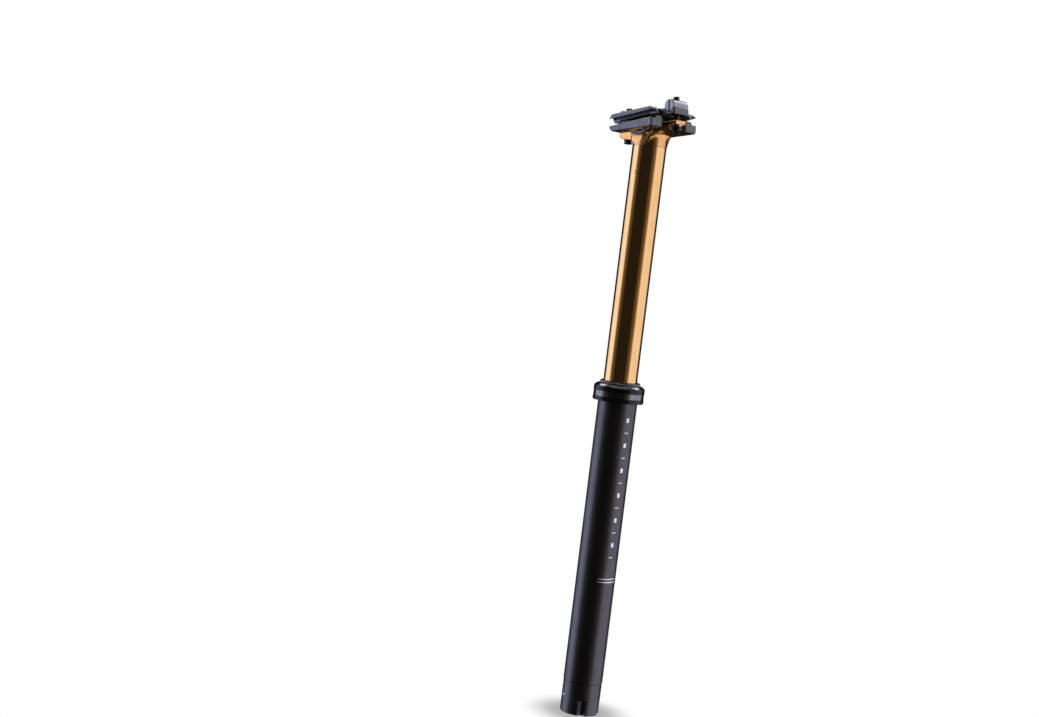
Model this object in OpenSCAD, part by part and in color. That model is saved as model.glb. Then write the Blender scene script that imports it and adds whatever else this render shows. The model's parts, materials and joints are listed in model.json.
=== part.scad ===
// Telescopic (dropper) seatpost with a locking gas and oil cartridge, a two-bolt
// saddle clamp and a cable-worked release at its foot.
// +Z runs up the post, +X points to the front of the bicycle and +Y to its left.
// The origin is on the post's axis, level with the underside of the collar.

/* [Outer tube] */
// Diameter of the outer tube, the standard seat tube size
outer_d = 30.9; // [30.9:0.1:31.6]
// Wall of the outer tube
outer_wall = 1.3; // [1.2:0.1:1.4]
// Length of outer tube below the collar beyond the travel
foot_room = 47; // [47:1:85]
// Number of anti-rotation keys and keyways
key_count = 3; // [2:1:3]

/* [Collar] */
// Outside diameter of the collar
collar_d = 40; // [38:0.5:41]
// Height of the collar
collar_h = 13; // [13:0.5:14]
// Height of the wiper lip above the collar
wiper_rise = 3; // [2.5:0.1:3]

/* [Upper tube] */
// Diameter of the upper tube
upper_d = 26.5; // [26.5:0.1:26.6]
// Wall of the upper tube
upper_wall = 2; // [1.8:0.1:2]
// Length of upper tube kept inside the outer tube when fully raised
overlap = 38; // [38:1:40]
// How far the post drops
travel = 175; // [100:5:175]

/* [Saddle clamp] */
// Height of the saddle rails' centres above the collar's underside with the post fully dropped
stack = 42.8; // [42:0.1:44]
// Nose-down angle of the rails to a plane square to the post
rail_pitch = 10.5; // [9:0.5:11]
// Diameter of a saddle rail
rail_d = 7; // [7:0.1:7.1]
// Distance between the two rails' centres
rail_gap = 44; // [43.5:0.5:44.5]
// Distance from the clamp's middle to each bolt
bolt_s = 25.5; // [25:0.5:26]
// Height of the tilt axis and the nuts above the rails' centres
pivot_u = 7.5; // [7.5:0.1:8]

/* [Cartridge] */
// Bore of the cartridge
bore_d = 18; // [18:0.5:18.5]
// Diameter of the piston rod
rod_d = 8; // [7:0.5:8]

/* [Hidden] */
$fn = 96;

// Radial gap of a fit that slides or turns, and the small gap of a fit that stays put
run = 0.05;
seat = 0.02;
// Extra length that carries a cut clear through a face
past = 1;

outer_r = outer_d / 2;
outer_bore = outer_r - outer_wall;
outer_len = travel + foot_room;
outer_top = 9.5;
// Radius of the thread that the collar screws onto
thread_r = outer_r - 0.4;
upper_r = upper_d / 2;
upper_bore = upper_r - upper_wall;
collar_r = collar_d / 2;
wiper_top = collar_h + wiper_rise;
// Seal under the collar: its height and the depth of its groove
seal_z = 2.1;
seal_groove = 1.4;
// Shelf in the collar that the wiper seal sits on
seat_z = outer_top + 1.1;

// Guide keys in the foot of the upper tube and the keyways they run in
key_w = 3;
key_low = -overlap + 12.5;
key_len = 10;
key_in = upper_r - 1;
key_out = outer_bore + 0.55;
keyway_out = key_out + 0.1;
keyway_w = key_w + 0.2;
bush_low = -9;

// Saddle clamp, in the clamp's own frame: s forward along the rails, u up from their centres
rail_z = travel + stack;
rail_r = rail_d / 2;
rail_y = rail_gap / 2;
trough_r = 18;
ear_top = -3.8;
ear_low = -7;
ear_half = 5.9;
rear_end = -30;
front_end = 31;
shoulder_end = 12.6;
head_y = 11.5;
wing_in = 12.4;
wing_out = rail_y + 2.5;
wing_front = 23.5;
wing_rear = -23;
nut_r = 5;
nut_half = 8;
bolt_r = 2.5;
bolt_head_r = 4.25;
bolt_head_h = 3.6;
bolt_top = 15;
washer_h = 1.1;
neck_top = rail_z - 17.8;
flat_r = 6.1;
flat_x = 3.4;
flat_top = 5.2;
front_drop = 0.9;

// Cartridge, from the gland at the bottom to the gas cap at the top
bore_r = bore_d / 2;
cart_r = bore_r + 1;
rod_r = rod_d / 2;
gland_low = -overlap;
piston_low = -24;
piston_h = 12;
piston_top = piston_low + piston_h;
// How far the rod's volume pushes the floating piston up as the post drops
displaced = travel * pow(rod_r / bore_r, 2);
float_low = piston_top + travel + 6 - displaced;
float_h = 12;
cap_low = float_low + float_h + displaced + 1.5;
pin_r = 1.5;

// Release mechanism at the foot
plug_top = -outer_len + 7.5;
foot_low = -outer_len - 25.5;
web_low = plug_top - 4.5;
nut_low = web_low - 4;
rod_low = nut_low - 0.5;
flange_low = rod_low - 8.1;
flange_h = 1.2;
flange_r = 3;
foot_r = outer_r - 0.25;
slot_y = 4.4;
arm = 5.5;
nose_r = 1.5;
nose_rise = 1.15;
pivot_z = flange_low - 0.15 - nose_r - nose_rise;
anchor_x = 2 * arm;
anchor_r = 2.5;
eye_r = 3.6;
floor_z = pivot_z - 6;
ferrule_r = 2.55;

// Places children in the clamp's frame
module in_clamp() {
    translate([0, 0, rail_z]) rotate([0, rail_pitch, 0]) children();
}

// Copies children to the front and the rear bolt
module at_bolts() {
    for (s = [-bolt_s, bolt_s]) translate([s, 0, 0]) children();
}

// Plain round bar from z0 to z1
module bar(r, z0, z1) {
    translate([0, 0, z0]) cylinder(r = r, h = z1 - z0);
}

// Plain round sleeve from z0 to z1
module sleeve(r_in, r_out, z0, z1) {
    difference() {
        bar(r_out, z0, z1);
        bar(r_in, z0 - past, z1 + past);
    }
}

// Ring of round section
module ring(r, thick_r, z) {
    translate([0, 0, z]) rotate_extrude() translate([r, 0]) circle(r = thick_r, $fn = 32);
}

// Bar along Y, centred on the XZ point given
module cross_bar(r, x, z, half) {
    translate([x, half, z]) rotate([90, 0, 0]) cylinder(r = r, h = 2 * half);
}

// Side outline, drawn as [s, u] points, made into a slab between two Y values
module slab(points, y0, y1) {
    translate([0, y1, 0]) rotate([90, 0, 0]) linear_extrude(height = y1 - y0) polygon(points);
}

// Repeats children round the axis, one for each key
module at_keys() {
    for (i = [0 : key_count - 1]) rotate([0, 0, 30 + i * 360 / key_count]) children();
}

module outer_tube() {
    color("#17171a") difference() {
        union() {
            bar(outer_r, -outer_len, 0);
            bar(thread_r, -past, outer_top);
        }
        bar(outer_bore, -outer_len - past, outer_top + past);
        at_keys() translate([0, -keyway_w / 2, plug_top + 2])
            cube([keyway_out, keyway_w, bush_low - plug_top - 2.5]);
    }
}

module collar() {
    groove_low = 3.4;
    groove_high = 7.8;
    groove_in = collar_r - 0.3;
    ease = 0.3;
    seal_out = thread_r + seal_groove;
    color("#0e0e10") rotate_extrude() polygon([
        [thread_r + seat, 0], [collar_r - 0.7, 0], [collar_r, 0.7],
        [collar_r, groove_low - ease], [groove_in, groove_low],
        [groove_in, groove_high], [collar_r, groove_high + ease],
        [collar_r, collar_h - 2], [collar_r - 0.25, collar_h - 1.5],
        [collar_r - 1.9, collar_h], [outer_r + 1, collar_h],
        [outer_r + 1, seat_z], [thread_r + seat, seat_z],
        [thread_r + seat, seal_z + 0.9], [seal_out, seal_z + 0.9],
        [seal_out, seal_z - 0.9], [thread_r + seat, seal_z - 0.9]
    ]);
}

module collar_seal() {
    wire = seal_groove / 2 - seat;
    color("#101010") ring(thread_r + seal_groove / 2, wire, seal_z);
}

module wiper_seal() {
    lip_in = upper_r + run;
    body_out = outer_r + 0.98;
    low = seat_z + seat;
    color("#141416") difference() {
        rotate_extrude() polygon([
            [upper_r + 0.6, low], [body_out, low], [body_out, collar_h + seat],
            [body_out + 0.5, collar_h + seat], [body_out + 0.5, collar_h + 0.5],
            [outer_r + 0.15, collar_h + 1.1], [outer_r + 0.1, wiper_top - 0.7],
            [outer_r - 0.2, wiper_top - 0.2], [lip_in + 0.5, wiper_top],
            [lip_in, wiper_top - 0.3], [lip_in, wiper_top - 0.8], [upper_r + 0.6, wiper_top - 1.8]
        ]);
        ring(outer_r + 0.25, 0.42, collar_h + 1.5);
    }
}

module wiper_garter() {
    color("#8d8d90") ring(outer_r + 0.25, 0.4, collar_h + 1.5);
}

module upper_bushing() {
    color("#4d4a3a") rotate_extrude() polygon([
        [upper_r + run, bush_low], [outer_bore - seat, bush_low], [outer_bore - seat, outer_top],
        [thread_r - seat, outer_top], [thread_r - seat, outer_top + 1], [upper_r + run, outer_top + 1]
    ]);
}

// Rear arm: the ear plate on top and the two low gussets that grow out of the neck below it
module rear_arm() {
    outline = [
        [0, ear_top + past], [rear_end, ear_top + past], [rear_end, ear_low - 0.2], [-25.2, -7.9],
        [-21.5, -8.9], [-16.8, -10.3], [-11.6, -11.6], [-8.7, -13.4], [-6.5, -15.4], [-4, -18.8], [0, -20]
    ];
    channel = bolt_head_r + 0.85;
    difference() {
        intersection() {
            slab(outline, -upper_r - past, upper_r + past);
            plan_taper();
        }
        // channel between the gussets, open to the rear, that the bolt's head sits in
        translate([-bolt_s, 0, -40]) cylinder(r = channel, h = 40 + ear_low);
        translate([rear_end - past, -channel + 0.4, -40])
            cube([-bolt_s - rear_end + past, 2 * channel - 0.8, 40 + ear_low]);
    }
}

// Plan outline that narrows the head from the neck to the rear ear
module plan_taper() {
    root_y = head_y - 0.3;
    translate([0, 0, -30]) linear_extrude(height = 40) polygon([
        [0, root_y], [-6.5, root_y], [-11, 10.6], [-16, 8.6], [-22, ear_half + 0.6],
        [rear_end + 1.2, ear_half], [rear_end, ear_half - 1.2], [rear_end, -ear_half + 1.2],
        [rear_end + 1.2, -ear_half], [-22, -ear_half - 0.6], [-16, -8.6], [-11, -10.6], [-6.5, -root_y], [0, -root_y]
    ]);
}

// Front ear: a square-ended block, thicker towards the neck
module front_ear() {
    wide = ear_half + 0.4;
    outline = [
        [0, ear_top + past], [front_end, ear_top + past], [front_end, -7.6], [28.6, -9.1], [17.5, -11.8],
        [14.8, -13.2], [13.6, -15.5], [12, -18.5], [0, -20]
    ];
    intersection() {
        slab(outline, -wide, wide);
        translate([0, 0, -30]) linear_extrude(height = 40) polygon([
            [0, wide], [front_end - 1.3, wide], [front_end, wide - 1.3],
            [front_end, -wide + 1.3], [front_end - 1.3, -wide], [0, -wide]
        ]);
    }
}

// Square shoulder across the neck, behind the front ear
module shoulder() {
    wide = head_y + 0.6;
    outline = [
        [0, ear_top + past], [shoulder_end, ear_top + past], [shoulder_end, -13.5], [11, -17], [8, -19.6], [0, -20]
    ];
    intersection() {
        slab(outline, -wide, wide);
        translate([0, 0, -30]) linear_extrude(height = 40) polygon([
            [0, wide], [shoulder_end - 1.8, wide], [shoulder_end, wide - 1.8],
            [shoulder_end, -wide + 1.8], [shoulder_end - 1.8, -wide], [0, -wide]
        ]);
    }
}

module upper_tube() {
    color("#b9813a") difference() {
        union() {
            bar(upper_r, -overlap, rail_z + 2);
            in_clamp() {
                rear_arm();
                front_ear();
                shoulder();
            }
        }
        bar(upper_bore, -overlap - past, neck_top - 4);
        // flat sides where the cradle's wings pass, and lower down a milled flat with a round end
        for (side = [-1, 1]) {
            flat_y = side > 0 ? head_y : -head_y - 20;
            translate([-50, flat_y, neck_top + flat_top + 2]) cube([100, 20, 40]);
            translate([flat_x - flat_r, flat_y, neck_top + flat_top]) cube([50, 20, 40]);
            translate([flat_x, side * (head_y + 5.05), neck_top + flat_top])
                rotate([90, 0, 0]) cylinder(r = flat_r, h = 10.1, center = true);
        }
        in_clamp() {
            translate([-60, -60, ear_top]) cube([120, 120, 40]);
            cross_bar(trough_r, 0, pivot_u, head_y + 5);
            at_bolts() bar(bolt_r + 0.3, -30, 5);
            translate([bolt_s, 0, -30]) cylinder(r = bolt_head_r + 0.6, h = 30 + ear_low - front_drop);
        }
        at_keys() translate([key_in - seat, -key_w / 2 - seat, key_low - seat])
            cube([5, key_w + 2 * seat, key_len + 2 * seat]);
    }
}

module lower_bushing() {
    color("#4d4a3a") sleeve(upper_r + seat, outer_bore - run, -overlap + 0.5, key_low - 0.3);
}

module guide_keys() {
    color("#c9a24a") at_keys() translate([key_in, -key_w / 2, key_low])
        cube([key_out - key_in, key_w, key_len]);
}

module top_out_bumper() {
    color("#202022") sleeve(upper_r + seat, outer_bore - 0.3, key_low + key_len + 0.3, bush_low - 0.2);
}

module cartridge_tube() {
    color("#b8bbc0") sleeve(bore_r, cart_r, gland_low + 4, cap_low + 5);
}

module cartridge_cap() {
    color("#8c9096") difference() {
        union() {
            bar(bore_r - seat, cap_low, cap_low + 5);
            bar(upper_bore - 0.1, cap_low + 5, cap_low + 8);
        }
        bar(3, cap_low - past, cap_low + 8 + past);
    }
}

module gas_valve() {
    color("#c9a24a") {
        bar(3 - seat, cap_low + 1, cap_low + 9);
        bar(3.8, cap_low + 8.02, cap_low + 10);
        bar(2.2, cap_low + 10, cap_low + 12.5);
    }
}

module rod_gland() {
    color("#8c9096") difference() {
        union() {
            bar(bore_r - seat, gland_low + 4, gland_low + 11);
            bar(upper_bore - seat, gland_low, gland_low + 4);
        }
        bar(rod_r + run, gland_low - past, gland_low + 11 + past);
        bar(rod_r + 1.6, gland_low + 6.5, gland_low + 8.5);
    }
}

module rod_seal() {
    color("#101010") sleeve(rod_r + 0.03, rod_r + 1.58, gland_low + 6.52, gland_low + 8.48);
}

module piston_rod() {
    color("#c4c7cc") sleeve(pin_r + 0.6, rod_r - 0.005, rod_low, piston_low + 6);
}

module main_piston() {
    port_r = 1;
    port_at = 6;
    color("#9b7a3c") difference() {
        bar(bore_r - 0.06, piston_low, piston_top);
        bar(rod_r, piston_low - past, piston_low + 6);
        bar(pin_r + 0.6, piston_low, piston_top + past);
        sleeve(bore_r - 0.8, bore_r + past, piston_low + 4, piston_low + 8);
        for (a = [0 : 90 : 270]) rotate([0, 0, a]) translate([port_at, 0, 0])
            bar(port_r, piston_low - past, piston_top + past);
    }
}

module piston_band() {
    color("#2d2d30") sleeve(bore_r - 0.78, bore_r - 0.03, piston_low + 4.02, piston_low + 7.98);
}

module floating_piston() {
    color("#b8bbc0") difference() {
        bar(bore_r - 0.06, float_low, float_low + float_h);
        bar(bore_r - 3, float_low + 4, float_low + float_h + past);
        for (z = [2, 8]) sleeve(bore_r - 1.2, bore_r + past, float_low + z, float_low + z + 2);
    }
}

module floating_seals() {
    color("#101010") for (z = [2, 8])
        sleeve(bore_r - 1.18, bore_r - 0.03, float_low + z + 0.02, float_low + z + 1.98);
}

// Push rod through the hollow piston rod, with its poppet head and its foot flange
module valve_pin() {
    color("#d0d3d8") {
        bar(pin_r, flange_low + flange_h, piston_top + 0.3);
        bar(3.1, piston_top + 0.3, piston_top + 2.3);
        bar(flange_r, flange_low, flange_low + flange_h);
    }
}

module rod_nut() {
    color("#8d8d90") difference() {
        translate([0, 0, nut_low]) cylinder(r = 6.9, h = 4 - seat, $fn = 6);
        bar(rod_r + seat, nut_low - past, web_low + past);
    }
}

// Points of one section of the spring wire, at turn angle a and height z
function wire_ring(r, a, z, wire, sides) = [
    for (k = [0 : sides - 1])
        let (b = 360 * k / sides, q = r + wire * cos(b))
        [q * cos(a), q * sin(a), z + wire * sin(b)]
];

module return_spring() {
    coil_r = 2.45;
    wire = 0.3;
    turns = 5;
    steps = 16;
    sides = 8;
    low = flange_low + flange_h + wire + 0.05;
    high = rod_low - wire - 0.05;
    count = turns * steps;
    points = [for (i = [0 : count])
        each wire_ring(coil_r, 360 * i / steps, low + (high - low) * i / count, wire, sides)];
    walls = [for (i = [0 : count - 1]) for (k = [0 : sides - 1])
        let (n = (k + 1) % sides)
        [i * sides + k, i * sides + n, (i + 1) * sides + n, (i + 1) * sides + k]];
    start = [[for (k = [0 : sides - 1]) sides - 1 - k]];
    finish = [[for (k = [0 : sides - 1]) count * sides + k]];
    color("#a8abb0") polyhedron(points, concat(start, walls, finish), convexity = 10);
}

module actuator_body() {
    color("#1d1d20") difference() {
        union() {
            bar(outer_bore - seat, -outer_len - 0.5, plug_top);
            bar(foot_r, foot_low + 1, -outer_len - seat);
            translate([0, 0, foot_low]) cylinder(r1 = foot_r - 1, r2 = foot_r, h = 1);
        }
        bar(rod_r, web_low - past, plug_top + past);
        bar(8, nut_low - 1.5, web_low);
        // room for the lever, open to the front
        translate([-8, -slot_y, floor_z]) cube([foot_r + 10, 2 * slot_y, nut_low - floor_z]);
        translate([anchor_x, 0, 0]) bar(ferrule_r, foot_low - past, floor_z - 1);
        translate([anchor_x, 0, 0]) bar(0.9, floor_z - 2, floor_z + past);
        cross_bar(pin_r, arm, pivot_z, foot_r + past);
        // scallops that lighten the back of the foot
        for (side = [-1, 1]) translate([-12.5, side * 9.5, foot_low - past])
            cylinder(r = 3, h = 12 + past);
    }
}

module actuator_lever() {
    half = 3;
    hub_r = 3.3;
    color("#6d7076") difference() {
        union() {
            cross_bar(hub_r, arm, pivot_z, half);
            cross_bar(eye_r, anchor_x, pivot_z, half);
            cross_bar(nose_r, 0, pivot_z + nose_rise, half);
            slab([[0, pivot_z + nose_rise - nose_r + 0.1], [0, pivot_z + nose_rise + nose_r - 0.2],
                  [arm, pivot_z + 2.4], [arm, pivot_z - hub_r + 0.1]], -half, half);
        }
        cross_bar(pin_r + run, arm, pivot_z, half + past);
        cross_bar(anchor_r + run, anchor_x, pivot_z, half + past);
        // way for the inner wire as the lever swings
        translate([anchor_x - 1.6, -0.9, pivot_z - eye_r - past]) cube([3.2, 1.8, eye_r + past]);
    }
}

module lever_pivot() {
    color("#b8bbc0") cross_bar(pin_r - 0.005, arm, pivot_z, 13);
}

module cable_anchor() {
    color("#b8bbc0") difference() {
        cross_bar(anchor_r, anchor_x, pivot_z, 4);
        translate([anchor_x, 0, 0]) bar(0.8, pivot_z - 5, pivot_z + 5);
        translate([anchor_x, 4 + past, pivot_z]) rotate([90, 0, 0]) cylinder(r = 1.5, h = 4 + past);
    }
}

module anchor_screw() {
    color("#303034") difference() {
        translate([anchor_x, 3.9, pivot_z]) rotate([90, 0, 0]) cylinder(r = 1.48, h = 3);
        translate([anchor_x, 3.9 + past, pivot_z]) rotate([90, 0, 0])
            cylinder(r = 0.85, h = 1.5 + past, $fn = 6);
    }
}

module lower_cradle() {
    wing = [
        [wing_front, -1], [wing_front, -4.2], [wing_front - 2.6, -7],
        [wing_rear + 2, -9.8], [wing_rear, -9], [wing_rear, -1]
    ];
    pocket_y = wing_in + 4.3;
    pocket_r = 2.4;
    pocket_top = -4.4;
    color("#26272b") in_clamp() difference() {
        union() {
            intersection() {
                cross_bar(trough_r - 0.06, 0, pivot_u, wing_in + 0.5);
                translate([-13.2, -wing_in - 0.5, -12]) cube([26.4, 2 * wing_in + 1, 11]);
            }
            for (side = [-1, 1]) slab(wing, side > 0 ? wing_in : -wing_out, side > 0 ? wing_out : -wing_in);
        }
        for (side = [-1, 1]) {
            translate([-50, side * rail_y, 0]) rotate([0, 90, 0]) cylinder(r = rail_r, h = 100);
            // lightening pockets under each wing
            for (s = [-15, -2.5, 10]) translate([s, side * pocket_y, -20])
                cylinder(r = pocket_r, h = 20 + pocket_top);
            // reliefs in the groove's outer lip
            translate([-4.5, side > 0 ? rail_y : -rail_y - 5, -2.2]) cube([14.5, 5, 3]);
            translate([-20, side > 0 ? rail_y : -rail_y - 5, -2.8]) cube([5, 5, 3]);
        }
    }
}

module upper_clamp() {
    wing = [
        [wing_front, 1], [wing_front, 5.6], [wing_front - 1.2, 6.4],
        [wing_rear + 1.2, 5.6], [wing_rear, 4.8], [wing_rear, 1]
    ];
    arm_end = bolt_s + 5.5;
    color("#26272b") in_clamp() difference() {
        union() {
            for (side = [-1, 1]) slab(wing, side > 0 ? 16 : -wing_out, side > 0 ? wing_out : -16);
            slab([[15, 1], [15, 6.5], [12, 7.4], [-12, 7.4], [-15, 6.5], [-15, 1]], -16.5, 16.5);
            for (side = [-1, 1]) slab([
                [side * 14, 1], [side * 17, 0.4], [side * (arm_end - 1), 0.4], [side * arm_end, 1.4],
                [side * arm_end, 5.6], [side * (arm_end - 0.4), 6], [side * 20, 6.4], [side * 14, 7]
            ], -nut_half, nut_half);
        }
        for (side = [-1, 1])
            translate([-50, side * rail_y, 0]) rotate([0, 90, 0]) cylinder(r = rail_r, h = 100);
        at_bolts() {
            cross_bar(nut_r + 0.06, 0, pivot_u, nut_half + past);
            translate([-4.2, -3.1, -past]) cube([8.4, 6.2, 10]);
        }
        // lightening window through the bridge
        translate([-8, -6, -past]) cube([16, 12, 12]);
    }
}

module clamp_bolts() {
    head_low = ear_low - washer_h - bolt_head_h;
    color("#1a1a1c") in_clamp() for (s = [-bolt_s, bolt_s]) {
        drop = s > 0 ? front_drop : 0;
        translate([s, 0, 0]) difference() {
            union() {
                bar(bolt_r, head_low - drop + bolt_head_h - 0.5, bolt_top);
                bar(bolt_head_r, head_low - drop + 0.5, head_low - drop + bolt_head_h);
                translate([0, 0, head_low - drop])
                    cylinder(r1 = bolt_head_r - 0.5, r2 = bolt_head_r, h = 0.5);
            }
            translate([0, 0, head_low - drop - past]) cylinder(r = 2.3, h = 2.4 + past, $fn = 6);
        }
    }
}

module bolt_washers() {
    color("#8d8d90") in_clamp() for (s = [-bolt_s, bolt_s]) {
        drop = s > 0 ? front_drop : 0;
        translate([s, 0, 0])
            sleeve(bolt_r + seat, bolt_head_r + 0.2, ear_low - washer_h - drop + seat, ear_low - drop - seat);
    }
}

// Barrel nut across the clamp's arm
module barrel_nut(s) {
    color("#a8abb0") in_clamp() translate([s, 0, 0]) difference() {
        union() {
            cross_bar(nut_r, 0, pivot_u, nut_half - 0.8);
            cross_bar(nut_r - 0.6, 0, pivot_u, nut_half);
        }
        bar(bolt_r + 0.35, pivot_u - 10, pivot_u + 10);
    }
}

module front_nut() {
    barrel_nut(bolt_s);
}

module rear_nut() {
    barrel_nut(-bolt_s);
}

outer_tube();
collar();
collar_seal();
wiper_seal();
wiper_garter();
upper_bushing();
upper_tube();
lower_bushing();
guide_keys();
top_out_bumper();
cartridge_tube();
cartridge_cap();
gas_valve();
rod_gland();
rod_seal();
piston_rod();
main_piston();
piston_band();
floating_piston();
floating_seals();
valve_pin();
rod_nut();
return_spring();
actuator_body();
actuator_lever();
lever_pivot();
cable_anchor();
anchor_screw();
lower_cradle();
upper_clamp();
clamp_bolts();
bolt_washers();
front_nut();
rear_nut();
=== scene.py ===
"""Looks of a dropper seatpost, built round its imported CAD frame.

Shapes are worked out in millimetres and turned into metres when a mesh is made. Turned pieces are lathed
from a filleted profile. Forged and milled pieces are distance fields, blended where the real piece has
fillets, and meshed. In the clamp's own frame s runs forward along the saddle rails, u up from them and y
across. Sizes that come from the CAD are read from it; the rest are named below or in the piece's function.
"""

import json
import math

import bpy
import numpy as np
import openvdb
from mathutils import Matrix, Quaternion, Vector


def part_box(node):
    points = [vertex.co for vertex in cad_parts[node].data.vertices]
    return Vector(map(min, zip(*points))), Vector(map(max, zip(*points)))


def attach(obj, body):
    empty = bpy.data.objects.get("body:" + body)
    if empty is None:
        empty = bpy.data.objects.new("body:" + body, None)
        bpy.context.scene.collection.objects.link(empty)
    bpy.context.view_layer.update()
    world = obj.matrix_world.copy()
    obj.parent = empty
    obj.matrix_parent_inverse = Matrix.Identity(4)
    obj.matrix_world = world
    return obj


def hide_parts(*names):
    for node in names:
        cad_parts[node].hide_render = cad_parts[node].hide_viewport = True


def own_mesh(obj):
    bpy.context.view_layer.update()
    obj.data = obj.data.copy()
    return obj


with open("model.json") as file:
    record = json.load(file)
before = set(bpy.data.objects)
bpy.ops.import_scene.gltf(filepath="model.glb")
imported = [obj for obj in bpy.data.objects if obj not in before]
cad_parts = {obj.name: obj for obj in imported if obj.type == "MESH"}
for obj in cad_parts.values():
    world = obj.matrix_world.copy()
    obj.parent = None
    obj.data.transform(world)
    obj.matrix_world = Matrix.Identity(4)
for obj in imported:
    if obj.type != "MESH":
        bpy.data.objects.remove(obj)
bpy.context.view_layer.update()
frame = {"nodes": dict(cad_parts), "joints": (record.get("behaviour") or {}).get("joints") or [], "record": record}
nodes = frame["nodes"]
mounts = {m["name"]: m for m in frame["record"]["mounts"]}
joints = {j["name"]: j for j in frame["joints"]}

MM = 0.001


# ---------------------------------------------------------------- sizes from the frame, in millimetres

def box_mm(node):
    """Lowest and highest corner of a CAD node, in millimetres."""
    low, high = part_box(node)
    return low / MM, high / MM


outer_low, outer_high = box_mm("outer_tube")
collar_high = box_mm("collar")[1]
wiper_low, wiper_high = box_mm("wiper_seal")
foot_low, foot_high = box_mm("actuator_body")
upper_low = box_mm("upper_tube")[0]
spring_low, spring_high = box_mm("return_spring")
garter_low, garter_high = box_mm("wiper_garter")

outer_r = outer_high.x
collar_r = collar_high.x
# the gold tube's own radius is read below the collar, clear of its wider head
upper_r = max(v.co.xy.length for v in nodes["upper_tube"].data.vertices if v.co.z < 0) / MM

# The clamp's frame, from the left rail's mount
rail = mounts["rail_left"]
rail_r = rail["dims"]["r_mm"]
rail_y = rail["pos_m"][1] / MM
pitch = math.atan2(-rail["axis"][2], rail["axis"][0])
rail_z = (rail["pos_m"][2] + rail["pos_m"][0] * math.tan(pitch)) / MM
sin_p, cos_p = math.sin(pitch), math.cos(pitch)


def to_clamp(x, z):
    """A point in the row frame's XZ plane, as s and u."""
    return x * cos_p - (z - rail_z) * sin_p, x * sin_p + (z - rail_z) * cos_p


def from_clamp(s, u):
    """s and u as a point in the row frame's XZ plane."""
    return s * cos_p + u * sin_p, rail_z - s * sin_p + u * cos_p


def joint_mm(name):
    return [v / MM for v in joints[name]["pos_m"]]


tilt_x, _, tilt_z = joint_mm("clamp_tilt")
nut_x, _, nut_z = joint_mm("front_nut_turn")
pivot_u = to_clamp(tilt_x, tilt_z)[1]
bolt_s = to_clamp(nut_x, nut_z)[0]
arm, _, pivot_z = joint_mm("lever_swing")

# Outer tube and gold tube
OUTER_WALL, GOLD_WALL = 1.3, 2.0

# Head: the trough the cradle tilts in, the ears the bolts stand in, and the square shoulder at the front
TROUGH_R = 18.0
EAR_TOP, EAR_LOW, EAR_HALF = -3.8, -7.0, 5.9
FRONT_DROP = 0.9  # the front bolt's head sits this much lower
REAR_END, FRONT_END, SHOULDER_END = -30.0, 31.0, 12.6
HEAD_Y = 11.5  # half width between the milled flats
FLAT_R, FLAT_X, FLAT_TOP = 6.1, 3.4, 5.2  # round end of each flat, measured from the axis and the neck
NECK_DROP, SEAM_DROP = 17.8, 1.0  # from the rails to the neck, and from there to the ground tube
neck_z = rail_z - NECK_DROP
seam_z = neck_z - SEAM_DROP

# Clamp wings, barrel nuts, bolts and washers
WING_IN, WING_OUT = 12.4, rail_y + 2.5
WING_FRONT, WING_REAR = 23.5, -23.0
NUT_R, NUT_HALF = 5.0, 8.0
BOLT_R, BOLT_TOP, BOLT_PLAY = 2.5, 15.0, 0.3
BOLT_HEAD_R, BOLT_HEAD_H, BOLT_KEY = 4.25, 3.6, 4.0
THREAD_PITCH, THREAD_DEPTH = 0.8, 0.32
WASHER_H = 1.1


# ---------------------------------------------------------------- distance fields
# A field is below zero inside a shape. Where a call to union, both or cut ends in a plain number, that is
# how wide the fillet is, in millimetres.

def union(a, b, blend=0.0):
    """Both shapes, with a fillet where they meet."""
    if not blend:
        return np.minimum(a, b)
    h = np.clip(0.5 + 0.5 * (b - a) / blend, 0, 1)
    return b + (a - b) * h - blend * h * (1 - h)


def both(a, b, blend=0.0):
    """What the two shapes share, with the edges between them eased."""
    return -union(-a, -b, blend)


def cut(a, b, blend=0.0):
    """The first shape without the second."""
    return both(a, -b, blend)


def span(v, low, high):
    """The layer between two values of a coordinate."""
    return np.abs(v - (low + high) / 2) - (high - low) / 2


def disc(a, b, ca, cb, r):
    """A round bar square to coordinates a and b."""
    return np.hypot(a - ca, b - cb) - r


def block(x, y, z, low, high):
    """A box from one corner to the other, its edges eased."""
    ease = 0.5
    d = both(span(x, low[0], high[0]), span(y, low[1], high[1]), ease)
    return both(d, span(z, low[2], high[2]), ease)


def hexagon(a, b, across):
    """A hexagonal hole square to coordinates a and b, of that size across its flats."""
    d = np.abs(b)
    for turn in (60, 120):
        t = math.radians(turn)
        d = np.maximum(d, np.abs(a * math.sin(t) + b * math.cos(t)))
    return d - across / 2


def mesh_field(name, field, low, high, step, place=None):
    """Meshes a distance field, a function of three coordinates, over a box in millimetres."""
    low = np.array(low, float) - 2 * step
    count = np.ceil((np.array(high, float) - low) / step).astype(int) + 3
    axes = [low[i] + step * np.arange(count[i]) for i in range(3)]
    x, y, z = np.meshgrid(*axes, indexing="ij", sparse=True)
    values = np.broadcast_to(field(x, y, z), count).astype(np.float32)
    band = 3 * step
    values = np.clip(values, -band, band)
    grid = openvdb.FloatGrid(band)
    grid.copyFromArray(np.ascontiguousarray(values))
    points, triangles, quads = grid.convertToPolygons(0.0, 0.0)
    points = low + step * np.asarray(points, float)
    if place is not None:
        points = place(points)
    faces = [tuple(f) for f in triangles] + [tuple(f) for f in quads]
    return new_mesh(name, points, faces)


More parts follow.
